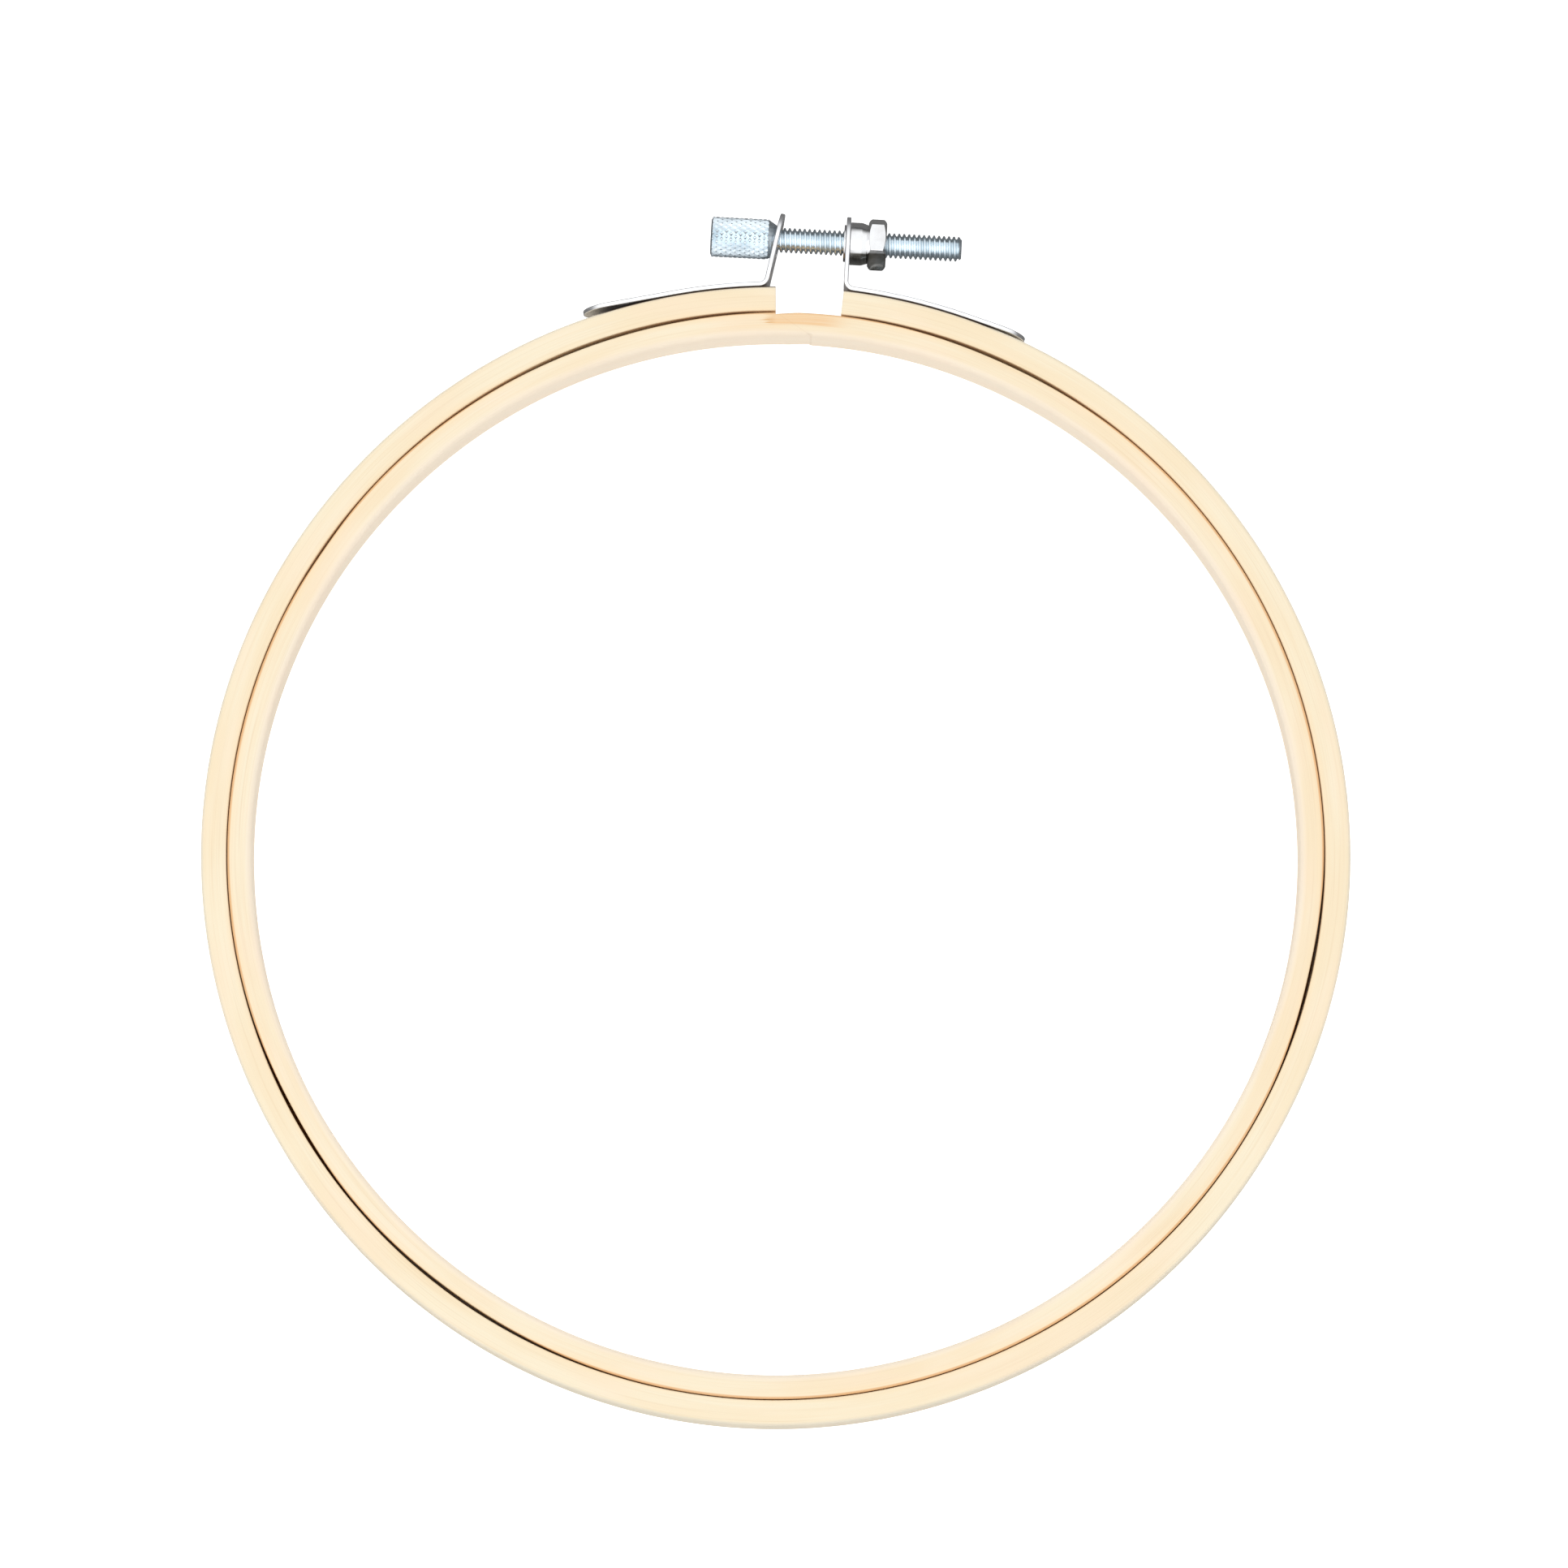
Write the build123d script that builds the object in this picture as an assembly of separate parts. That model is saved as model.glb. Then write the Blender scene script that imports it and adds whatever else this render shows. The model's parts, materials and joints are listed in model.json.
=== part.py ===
from build123d import *
import math
import os

# An embroidery hoop: a plain inner ring, a split outer ring round it, and a screw clamp across the split.
# Millimetres. The hoop lies flat, +Z up, with its origin at the middle of the inner ring's window,
# half way up the rings. +Y points at the clamp, and the screw lies along X with its head at -X.

# Rings, bent from bamboo strip
window_radius = 82.5          # inner ring, inside
inner_ring_wall = 3.7
seam_clearance = 0.3          # between the two rings, all the way round
outer_ring_wall = 4.0
ring_height = 9.0
ring_edge_bevel = 0.6         # sanded edges

# Glued lap of the inner ring, whose two feathered ends each leave a shallow step on a wall
lap_step_depth = 0.25
lap_step_length = 3.6
lap_inner_end = 1.4           # X where the end on the inside wall stops
lap_outer_end = -4.6          # X where the end on the outside wall stops

# Clamp brackets, bent from steel strip
sheet = 0.7
strip_margin = 0.3            # ring that shows above and below a bracket
bend_inside_radius = 1.0
ear_spread = 12.0             # between the facing sides of the two ears, at the ring
left_ear_lean = 10.0          # degrees, its top towards the other ear
left_plate_seated = 13.7      # length of plate that follows the ring, from the bend
right_plate_seated = 18.3
left_tongue = 14.6            # straight free end beyond it, which stands off the ring
right_tongue = 10.0
bracket_seat = 0.05           # film of air under a plate that lies on the ring
sheet_edge_bevel = 0.1
left_end_overhang = 1.25      # how far the ring's left end reaches past its ear's face
right_end_set_back = 0.1      # how far the ring's right end stops behind its ear's face

# Clamp screw, a knurled head and thread in one piece
axis_above_ring = 8.15        # screw axis over the outer ring's outside
screw_radius = 2.0            # over the thread
thread_length = 29.4
screw_tip_chamfer = 0.5
ear_hole_clearance = 1.0      # radial, in the leaning ear
head_radius = 3.2
head_knurl_length = 9.1
head_cone_length = 1.5        # taper under the head, which bears on the rim of the ear's hole
head_cone_step = 0.2          # how far the cone's small end stands over the thread
head_gap = 0.1                # between the cone and that rim
head_edge_chamfer = 0.25

# Nut swaged into the right ear: lip, spigot, collar, neck and hexagon in one piece
thread_clearance = 0.05       # radial
nut_spigot_wall = 0.55
nut_lip_width = 0.35          # rolled over the ear's face
nut_lip_thickness = 0.3
nut_collar_wall = 1.35
nut_collar_length = 2.8       # neck included
nut_neck_length = 1.0         # taper from the collar down to the hexagon
nut_neck_depth = 0.35
nut_across_flats = 7.5
nut_hex_length = 2.95
nut_rim_inset = 0.3           # from a flat to the ring where the end chamfer starts
nut_chamfer_angle = 30.0
nut_lean = 8.0                # degrees, how far its top flat is turned towards +Y
nut_fit = 0.02                # between the nut and its ear

# Nails that hold the brackets, two to each
nail_shank_radius = 0.7
nail_shank_length = 3.3       # below the plate's outside
nail_point_length = 0.8
nail_head_radius = 1.5
nail_head_height = 0.5
nail_head_bevel = 0.2
nail_fit = 0.05
first_nail_from_bend = 3.6
second_nail_before_tongue = 2.2

cut_overrun = 5.0             # how far a cutting shape runs past what it cuts

# Worked-out sizes
inner_ring_outside = window_radius + inner_ring_wall
outer_ring_inside = inner_ring_outside + seam_clearance
outer_ring_outside = outer_ring_inside + outer_ring_wall
plate_inside = outer_ring_outside + bracket_seat
plate_outside = plate_inside + sheet
strip_width = ring_height - 2 * strip_margin
axis_y = outer_ring_outside + axis_above_ring
ear_hole_radius = screw_radius + ear_hole_clearance
nut_bore_radius = screw_radius + thread_clearance
nut_spigot_radius = nut_bore_radius + nut_spigot_wall
left_end_x = ear_spread / 2 - left_end_overhang
right_end_x = ear_spread / 2 + right_end_set_back


def polar(radius, angle):
    """Point at a radius from the hoop's axis, angle in radians from +X."""
    return Vector(radius * math.cos(angle), radius * math.sin(angle), 0)


def strip_section(inside, outside):
    """Cross-section of a ring's strip, its edges sanded off, standing on the XZ plane."""
    section = Rectangle(outside - inside, ring_height)
    section = chamfer(section.vertices(), ring_edge_bevel)
    return Plane.XZ * Pos((inside + outside) / 2, 0) * section


def lap_step(wall_radius, end_x, into_wood):
    """Wedge that the lap leaves in a wall: deepest at the strip's end, running out to nothing.

    into_wood is 1 where the wood lies outside the wall's radius, and -1 where it lies inside it.
    """
    angle = math.acos(end_x / wall_radius)
    wedge = Polyline(
        polar(wall_radius, angle + into_wood * lap_step_length / wall_radius),
        polar(wall_radius + into_wood * lap_step_depth, angle),
        polar(wall_radius - into_wood * lap_step_depth, angle),
        close=True,
    )
    return extrude(make_face(wedge), amount=ring_height, both=True)


def inner_ring():
    ring = revolve(strip_section(window_radius, inner_ring_outside), Axis.Z)
    ring -= lap_step(window_radius, lap_inner_end, 1)
    ring -= lap_step(inner_ring_outside, lap_outer_end, -1)
    return ring


def outer_ring(brackets):
    """The split ring, with blind holes for the brackets' nails."""
    left_end = math.asin(left_end_x / outer_ring_outside)
    right_end = math.asin(right_end_x / outer_ring_outside)
    section = Rot(0, 0, 90 + math.degrees(left_end)) * strip_section(outer_ring_inside, outer_ring_outside)
    ring = revolve(section, Axis.Z, revolution_arc=math.degrees(math.tau - left_end - right_end))
    for bracket in brackets:
        for angle in bracket.nail_angles():
            ring -= nail_hole(bracket.placed(angle))
    return ring


class Bracket:
    """Shape of one bracket, worked out as the right-hand one; the left-hand one is its mirror image."""

    def __init__(self, ear_lean, plate_seated, tongue, hole_radius, mirrored):
        self.lean = math.radians(ear_lean)
        self.tongue = tongue
        self.hole_radius = hole_radius
        self.mirrored = mirrored
        self.up = Vector(-math.sin(self.lean), math.cos(self.lean), 0)
        self.back = Vector(math.cos(self.lean), math.sin(self.lean), 0)
        self.outer_bend = bend_inside_radius + sheet
        foot = Vector(ear_spread / 2, plate_inside, 0)
        self.hole = foot + self.up * ((axis_y - plate_inside) / math.cos(self.lean))
        # the bend's centre lies one outer bend radius behind the ear's face and above the ring
        behind_foot = foot + self.back * self.outer_bend
        along = behind_foot.dot(self.up)
        reach = plate_inside + self.outer_bend
        rise = math.sqrt(along**2 - behind_foot.dot(behind_foot) + reach**2) - along
        self.bend_centre = behind_foot + self.up * rise
        self.bend_angle = math.atan2(self.bend_centre.Y, self.bend_centre.X)
        self.tongue_angle = self.bend_angle - plate_seated / plate_inside

    def placed(self, angle):
        """An angle on the ring, once the bracket is on its own side."""
        return math.pi - angle if self.mirrored else angle

    def nail_angles(self):
        first = self.bend_angle - first_nail_from_bend / plate_inside
        second = self.tongue_angle + second_nail_before_tongue / plate_inside
        return [first, second]

    def hole_low_rim(self):
        """Lowest point of the hole's rim on the ear's outer side."""
        return self.hole + self.back * sheet - self.up * self.hole_radius

    def profile(self):
        """The strip seen edge-on: ear, bend, plate that follows the ring, straight tongue."""
        ear_top = self.hole + self.up * strip_width / 2
        ear_foot = self.bend_centre - self.back * self.outer_bend
        on_ring = polar(plate_inside, self.bend_angle)
        seat_middle = polar(plate_inside, (self.bend_angle + self.tongue_angle) / 2)
        seat_end = polar(plate_inside, self.tongue_angle)
        leaving = Vector(math.sin(self.tongue_angle), -math.cos(self.tongue_angle), 0)
        bisector = (on_ring - self.bend_centre).normalized() - self.back
        bend_middle = self.bend_centre + bisector.normalized() * self.outer_bend
        face_line = Wire([
            Edge.make_line(ear_top, ear_foot),
            Edge.make_three_point_arc(ear_foot, bend_middle, on_ring),
            Edge.make_three_point_arc(on_ring, seat_middle, seat_end),
            Edge.make_line(seat_end, seat_end + leaving * self.tongue),
        ])
        return Face(face_line.offset_2d(sheet, side=Side.LEFT))

    def solid(self):
        strip = extrude(self.profile(), amount=strip_width / 2, both=True)
        end_corners = strip.edges().filter_by(lambda edge: abs(edge.length - sheet) < sheet_edge_bevel)
        strip = fillet(end_corners, strip_width / 2 - sheet_edge_bevel)
        rims = strip.edges().filter_by(lambda edge: abs(edge.length - sheet) > sheet_edge_bevel)
        strip = chamfer(rims, sheet_edge_bevel)
        strip -= Plane(origin=self.hole, z_dir=self.back) * Cylinder(self.hole_radius, 2 * cut_overrun)
        for angle in self.nail_angles():
            strip -= nail_hole(angle)
        return mirror(strip, Plane.YZ) if self.mirrored else strip


def driven_in(body, angle):
    """Turn a body drawn along +Y to an angle on the ring."""
    return Rot(0, 0, math.degrees(angle) - 90) * body


def nail_hole(angle):
    """Hole for a nail, through the plate and blind in the ring."""
    tip = plate_outside - nail_shank_length - nail_fit
    radius = nail_shank_radius + nail_fit
    outline = Polyline(
        (0, tip),
        (radius, tip + nail_point_length),
        (radius, plate_outside + cut_overrun),
        (0, plate_outside + cut_overrun),
        close=True,
    )
    return driven_in(revolve(make_face(outline), Axis.Y), angle)


def nail(angle):
    """Flat-headed nail, its head on the plate."""
    tip = plate_outside - nail_shank_length
    seat = plate_outside + nail_fit
    head_top = seat + nail_head_height
    outline = Polyline(
        (0, tip),
        (nail_shank_radius, tip + nail_point_length),
        (nail_shank_radius, seat),
        (nail_head_radius, seat),
        (nail_head_radius, head_top - nail_head_bevel),
        (nail_head_radius - nail_head_bevel, head_top),
        (0, head_top),
        close=True,
    )
    return driven_in(revolve(make_face(outline), Axis.Y), angle)


def nails(bracket):
    return Compound([nail(bracket.placed(angle)) for angle in bracket.nail_angles()])


def clamp_screw(ear):
    """Thumb screw, placed by the ear that its head bears on; thread and knurling are left plain."""
    cone_radius = screw_radius + head_cone_step
    rim = ear.hole_low_rim()
    run_to_rim = head_cone_length * (head_radius - (axis_y - rim.Y)) / (head_radius - cone_radius)
    knurl_end = -rim.X - head_gap - run_to_rim
    cone_end = knurl_end + head_cone_length
    head_end = knurl_end - head_knurl_length
    tip = cone_end + thread_length
    outline = Polyline(
        (head_end, 0),
        (head_end, head_radius - head_edge_chamfer),
        (head_end + head_edge_chamfer, head_radius),
        (knurl_end, head_radius),
        (cone_end, cone_radius),
        (cone_end, screw_radius),
        (tip - screw_tip_chamfer, screw_radius),
        (tip, screw_radius - screw_tip_chamfer),
        (tip, 0),
        close=True,
    )
    return Pos(0, axis_y, 0) * revolve(make_face(outline), Axis.X)


def nut_turned_part(ear_face, ear_back, hexagon_start):
    """The nut's round part: lip on the ear's face, spigot in its hole, collar and neck behind it."""
    lip_radius = nut_spigot_radius + nut_lip_width
    collar_radius = nut_bore_radius + nut_collar_wall
    lip_front = ear_face - nut_fit - nut_lip_thickness
    outline = Polyline(
        (lip_front, 0),
        (lip_front, lip_radius),
        (ear_face - nut_fit, lip_radius),
        (ear_face - nut_fit, nut_spigot_radius),
        (ear_back + nut_fit, nut_spigot_radius),
        (ear_back + nut_fit, collar_radius),
        (hexagon_start - nut_neck_length, collar_radius),
        (hexagon_start, collar_radius - nut_neck_depth),
        (hexagon_start, 0),
        close=True,
    )
    return revolve(make_face(outline), Axis.X)


def nut_hexagon(start):
    """The hexagon, both ends chamfered round its corners."""
    end = start + nut_hex_length
    corner = nut_across_flats / math.sqrt(3)
    rim = nut_across_flats / 2 - nut_rim_inset
    chamfer_run = (corner - rim) * math.tan(math.radians(nut_chamfer_angle))
    blank = Polyline(
        (start, 0),
        (start, rim),
        (start + chamfer_run, corner),
        (end - chamfer_run, corner),
        (end, rim),
        (end, 0),
        close=True,
    )
    flats = RegularPolygon(nut_across_flats / 2, 6, major_radius=False)
    prism = extrude(Plane.YZ.offset(start) * Rot(0, 0, -nut_lean) * flats, amount=nut_hex_length)
    return revolve(make_face(blank), Axis.X) & prism


def swaged_nut(ear):
    """Nut placed by the ear that it is swaged into; its thread is left plain."""
    ear_face = ear.hole.X
    ear_back = ear_face + sheet
    hexagon_start = ear_back + nut_fit + nut_collar_length
    body = nut_turned_part(ear_face, ear_back, hexagon_start) + nut_hexagon(hexagon_start)
    bore_length = 2 * (nut_collar_length + nut_hex_length + cut_overrun)
    body -= Pos(ear_back, 0, 0) * Rot(0, 90, 0) * Cylinder(nut_bore_radius, bore_length)
    return Pos(0, axis_y, 0) * body


left = Bracket(left_ear_lean, left_plate_seated, left_tongue, ear_hole_radius, mirrored=True)
right = Bracket(0, right_plate_seated, right_tongue, nut_spigot_radius + nut_fit, mirrored=False)

parts = {
    "inner_ring": inner_ring(),
    "outer_ring": outer_ring([left, right]),
    "left_bracket": left.solid(),
    "right_bracket": right.solid(),
    "left_nails": nails(left),
    "right_nails": nails(right),
    "clamp_screw": clamp_screw(left),
    "swaged_nut": swaged_nut(right),
}

os.makedirs("parts", exist_ok=True)
for name, shape in parts.items():
    export_step(shape, f"parts/{name}.step")
    print(name, round(shape.volume, 3))
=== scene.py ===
import json
import math

import bmesh
import bpy
from mathutils import Matrix, Vector, noise


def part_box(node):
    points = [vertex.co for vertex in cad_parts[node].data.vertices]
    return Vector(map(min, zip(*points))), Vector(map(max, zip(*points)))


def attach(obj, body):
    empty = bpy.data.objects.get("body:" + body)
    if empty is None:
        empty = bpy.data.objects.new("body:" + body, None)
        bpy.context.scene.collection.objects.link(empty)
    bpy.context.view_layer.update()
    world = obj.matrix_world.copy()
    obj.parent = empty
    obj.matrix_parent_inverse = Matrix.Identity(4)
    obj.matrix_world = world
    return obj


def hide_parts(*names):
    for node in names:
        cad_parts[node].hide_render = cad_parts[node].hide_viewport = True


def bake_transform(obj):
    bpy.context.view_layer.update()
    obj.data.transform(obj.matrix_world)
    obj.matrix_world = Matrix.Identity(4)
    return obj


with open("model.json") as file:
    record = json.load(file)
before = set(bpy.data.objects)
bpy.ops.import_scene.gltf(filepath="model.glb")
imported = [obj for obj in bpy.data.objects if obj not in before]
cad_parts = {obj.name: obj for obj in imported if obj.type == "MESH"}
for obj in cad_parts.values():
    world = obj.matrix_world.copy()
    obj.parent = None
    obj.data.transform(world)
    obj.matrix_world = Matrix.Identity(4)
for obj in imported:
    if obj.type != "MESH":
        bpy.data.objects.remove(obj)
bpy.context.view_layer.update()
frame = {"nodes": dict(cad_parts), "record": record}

# An embroidery hoop: two bamboo rings, the outer one split and drawn together by a thumb screw.
# Metres; a size in millimetres is multiplied by MM. The hoop lies flat, +Y towards its screw clamp.
MM = 0.001

# Rings, from the frame
ring_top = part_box("inner_ring")[1].z
ring_bottom = -ring_top
window_radius = frame["record"]["mounts"][0]["dims"]["r_mm"] * MM
inner_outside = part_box("inner_ring")[1].x
outer_outside = -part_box("outer_ring")[0].x

# Rings, their own sizes
OUTER_WALL = 4.0 * MM
WINDOW_ROUNDING = 0.85 * MM       # edges sanded most, round the window
OUTSIDE_ROUNDING = 0.7 * MM
SEAM_ROUNDING = 0.28 * MM
LEFT_END_X = -4.75 * MM           # where the split ring's two ends stop
RIGHT_END_X = 6.1 * MM
SAWN_EDGE = 0.12 * MM
RING_STEPS = 720                  # facets round a whole ring
STRIP_WAVE = 0.05 * MM            # unevenness left by bending and sanding
WAVE_PLACE = 9                    # where in the noise it is read
LONG_WAVES = 2.3                  # about as many round the ring
SHORT_WAVES = 7.0
SHORT_WAVE_SHARE = 0.5
UPPER_WAVE_SHARE = 0.5
LOWER_WAVE_SHARE = 0.4
TOP_WAVE_SHARE = 0.4
TOP_WAVES = 3.1
TOP_WAVE_PLACE = Vector((5, 0, 0))
WINDOW_WAVES = 3
SANDED_OFF = 0.01 * MM            # least that the sanding takes off the outside
CORNER_SEGMENTS = 6

# The seam between the rings: how much of their play the inner ring takes up, and where it gapes
SEAM_TAKEN_UP = 0.12 * MM
SEAM_GAPES = (                    # middle and half-width in degrees, depth
    (68, 12, 0.38 * MM),
    (112, 18, 0.38 * MM),
    (149, 5, 0.20 * MM),
    (212, 9, 0.34 * MM),
    (238, 13, 0.38 * MM),
    (350, 8, 0.38 * MM),
)

# Glued lap of the inner ring, its two ends
LAP_STEP_DEPTH = 0.25 * MM
LAP_STEP_LENGTH = 3.6 * MM
LAP_INSIDE_X = 1.4 * MM
LAP_OUTSIDE_X = -4.6 * MM
LAP_STEP_WIDTH = 0.02 * MM
LAP_REACH = 20 * MM               # its cuts stay this near the clamp's middle

# A range is from, to, and what it becomes at each (0 and 1 if not given). It fades smoothly between.
# Bamboo: its colours, and how far the noise of its fibres mixes them
OUTER_PALE = (0.85, 0.745, 0.555, 1)
OUTER_WARM = (0.84, 0.70, 0.49, 1)
INNER_PALE = (0.85, 0.74, 0.55, 1)
INNER_WARM = (0.84, 0.69, 0.48, 1)
DARK_FIBRE = (0.66, 0.46, 0.26, 1)
BLUSH_WOOD = (0.90, 0.72, 0.56, 1)
PATCHES_RANGE = (0.35, 0.65)
STREAKS_RANGE = (0.42, 0.72, 0.0, 0.55)
FINE_RANGE = (0.5, 0.75, 0.0, 0.28)
BLUSH_RANGE = (0.45, 0.7, 0.0, 0.22)
BUNDLE_SHARE = 0.16
BUNDLE_EDGE = (0.12, 0.34, 1.0, 0.0)
GRAIN_ROUGHNESS = (0.3, 0.7, 0.42, 0.58)
GRAIN_RELIEF = 0.05 * MM
GRAIN_BUMP = 0.35
FINE_RELIEF = 0.6                 # of the broad streaks' relief
VARNISH_GLOSS = 0.22

# Fibres: widths and lengths as shares of the streaks'
FINE_WIDTH = 0.3
PATCHES_WIDTH = 8.0
BLUSH_WIDTH = 14.0
BLUSH_LENGTH = 0.6
BLUSH_SHIFT = 7.0                 # so that it isn't the patches' noise again

# Bamboo where it differs: colour, and the range of its distance from the wall or seam
# painted light: the window wall and its rounded edge are painted paler, as if lit by the bright table
WINDOW_PAINTED_LIGHT = (0.87, 0.76, 0.635, 1)
WINDOW_PAINTED_LIGHT_ZONE = (0.25 * MM, 1.4 * MM, 0.65, 0.0)
# painted shade: the outside wall is painted greyer, as if in shade
OUTSIDE_PAINTED_SHADE = (0.70, 0.65, 0.54, 1)
OUTSIDE_PAINTED_SHADE_ZONE = (0.12 * MM, 0.5 * MM, 0.6, 0.0)
SEAM_WOOD = (0.90, 0.68, 0.40, 1)
SEAM_ZONE = (0.35 * MM, 1.3 * MM, 0.30, 0.0)
SEAM_BLUSH = (0.3, 0.6, 0.4, 1.0)
# painted shade: brown on the walls of the seam between the rings, strongest near the top
SEAM_PAINTED_SHADE = (0.70, 0.30, 0.06, 1)
SEAM_PAINTED_SHADE_ZONE = (0.12 * MM, 0.34 * MM, 0.6, 0.0)
SEAM_PAINTED_SHADE_HEIGHT = (ring_top - 4.0 * MM, ring_top - 0.1 * MM)

# Painted shade: browner wall of the outer ring's seam, beside the clamp only, and none of it on the top face
CLAMP_PAINTED_SHADE = (0.26, 0.11, 0.035, 1)
CLAMP_PAINTED_SHADE_ZONE = (0.42 * MM, 0.55 * MM, 0.5, 0.0)
CLAMP_PAINTED_SHADE_ALONG_X = (0.07, 0.12)    # of the direction from the hoop's middle
CLAMP_PAINTED_SHADE_ALONG_Y = (0.84, 0.93)
CLAMP_PAINTED_SHADE_TOP = (ring_top - 0.25 * MM, ring_top - 0.05 * MM, 1.0, 0.0)
CLAMP_PAINTED_SHADE_HEIGHT = (ring_top - 3.2 * MM, ring_top - 0.8 * MM)
CLAMP_SIDE_Y = (0.0, 10 * MM)         # past it, a place is on the clamp's half of the hoop

# Painted shade on the outside wall under the brackets
bracket_shade_left_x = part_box("left_bracket")[0].x + 3.0 * MM
bracket_shade_right_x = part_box("right_bracket")[1].x - 5.0 * MM
BRACKET_PAINTED_SHADE = (0.10, 0.06, 0.035, 1)
BRACKET_PAINTED_SHADE_FADE = 1.5 * MM
BRACKET_PAINTED_SHADE_WALL = (outer_outside - 0.3 * MM, outer_outside - 0.15 * MM)

# Brown patch on the inner ring between the ears, over the lap: ranges of x, and of the distance from the
# seam inwards
PATCH_WOOD = (0.80, 0.53, 0.29, 1)
PATCH_LEFT_X = (-6.5 * MM, -5.5 * MM)
PATCH_RIGHT_X = (3.1 * MM, 8.1 * MM, 1.0, 0.0)
PATCH_DEPTH = (1.75 * MM, 2.3 * MM, 1.0, 0.0)
PATCH_FINE = (0.35, 0.65, 0.45, 1.0)
PATCH_RAGGED = 7 * MM             # its ends follow the fine streaks
PATCH_UNEVEN = 2.2 * MM           # its inner edge follows the broad ones
PATCH_POINT_DEPTH = 1.1 * MM
PATCH_POINT_SLOPE = 1.2
PATCH_TIP_WOOD = (0.66, 0.38, 0.16, 1)
PATCH_TIP_X = (-5.7 * MM, -4.2 * MM, 0.6, 0.0)
TRAIL_LEFT_X = (-20 * MM, -6 * MM, 0.0, 0.7)
TRAIL_RIGHT_X = (-6 * MM, 2 * MM, 1.0, 0.0)
TRAIL_STREAKS = (0.45, 0.65)
TRAIL_DEPTH = (0.5 * MM, 3.0 * MM, 1.0, 0.0)
GLUE_LINE = (0.40, 0.20, 0.08, 1)
GLUE_LINE_WIDTH = (0.03 * MM, 0.14 * MM, 0.10, 0.0)

# Clamp screw
screw_low, screw_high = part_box("clamp_screw")
screw_axis = Vector((0, (screw_low.y + screw_high.y) / 2, 0))
head_radius = (screw_high.y - screw_low.y) / 2
HEAD_CHAMFER = 0.25 * MM
KNURL_LENGTH = 8.85 * MM
KNURL_DEPTH = 0.28 * MM
KNURL_AROUND = 22
KNURL_ANGLE = math.radians(29)    # between a groove and the axis
KNURL_GROOVE_SHARE = 0.37         # of a diamond's side, from its edge to its flat top
KNURL_SPARE = 4                   # diamonds past the head, cut off again
KNURL_END_STEP = 0.1 * MM
CONE_LENGTH = 1.5 * MM
CONE_END_RADIUS = 2.2 * MM
THREAD_RADIUS = 2.0 * MM
THREAD_DEPTH = 0.46 * MM
THREAD_PITCH = 0.794 * MM
THREAD_POINTS = 16                # along one pitch
THREAD_STEPS = 40                 # round one turn
THREAD_RISE = 1.3                 # the crest's swell, cut off flat at the top,
THREAD_FALL = 0.12                # and sunk so that the root is flat too
THREAD_OVERLAP = 0.5 * MM         # hidden in the cone
THREAD_LEAD = 1.5                 # pitches before its start, cut off again
THREAD_SPARE_TURNS = 3
TIP_CHAMFER = 0.5 * MM
WELD = 1e-7                       # points nearer than this are one
FLAT_WELD = 1e-8                  # in the knurling, while it still lies flat
NEAR = 0.01 * MM                  # places nearer than this belong together

# Nut
nut_low, nut_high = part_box("swaged_nut")
EAR_FACE_X = 6.0 * MM
SHEET = 0.7 * MM
NUT_FIT = 0.02 * MM
NUT_BORE_RADIUS = 2.05 * MM
NUT_SPIGOT_RADIUS = 2.6 * MM
NUT_LIP_RADIUS = 2.95 * MM
NUT_COLLAR_RADIUS = 3.4 * MM
NUT_NECK_RADIUS = 3.05 * MM
NUT_NECK_LENGTH = 1.0 * MM
NUT_HEX_LENGTH = 2.95 * MM
NUT_FLAT = 3.75 * MM              # axis to flat
NUT_RIM_RADIUS = 3.45 * MM
NUT_CHAMFER = math.radians(30)
NUT_LEAN = math.radians(8)
NUT_COUNTERSINK_RADIUS = 2.4 * MM
NUT_COUNTERSINK_DEPTH = 0.35 * MM
NUT_EDGE = 0.07 * MM
NUT_STEPS = 96
# below this, the nut's lower side gets a painted dark reflection
NUT_PAINTED_REFLECTION_BELOW = 1.9 * MM

# Plating: the marks on all of it, and each metal's bright and dull colour, smoothest and roughest, and
# the depth of its rubbing marks
RUB_SCALE = 900.0
RUB_STRETCH = (1.0, 1.0, 0.12)
RUB_BUMP = 0.3
CLOUD_SCALE = 260.0
CLOUDS_RANGE = (0.35, 0.7)
GLOSS_RANGE = (0.25, 0.75)
# painted dark reflection on the nut's lower side: colour, fade, streak scale and range
PAINTED_REFLECTION_DARK = (0.16, 0.15, 0.13, 1)
PAINTED_REFLECTION_EDGE = 0.25 * MM
PAINTED_REFLECTION_SCALE = 450.0
PAINTED_REFLECTION_RANGE = (0.3, 0.7, 0.72, 1.0)
BRACKET_PLATE = ((0.86, 0.86, 0.87, 1), (0.76, 0.76, 0.77, 1), (0.30, 0.46), 0.01 * MM)
NAIL_PLATE = ((0.78, 0.79, 0.80, 1), (0.62, 0.63, 0.65, 1), (0.25, 0.45), 0.015 * MM)
SCREW_PLATE = ((0.76, 0.84, 0.89, 1), (0.64, 0.72, 0.77, 1), (0.22, 0.38), 0.01 * MM)
NUT_PLATE = ((0.84, 0.84, 0.845, 1), (0.70, 0.69, 0.69, 1), (0.12, 0.28), 0.01 * MM)

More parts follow.
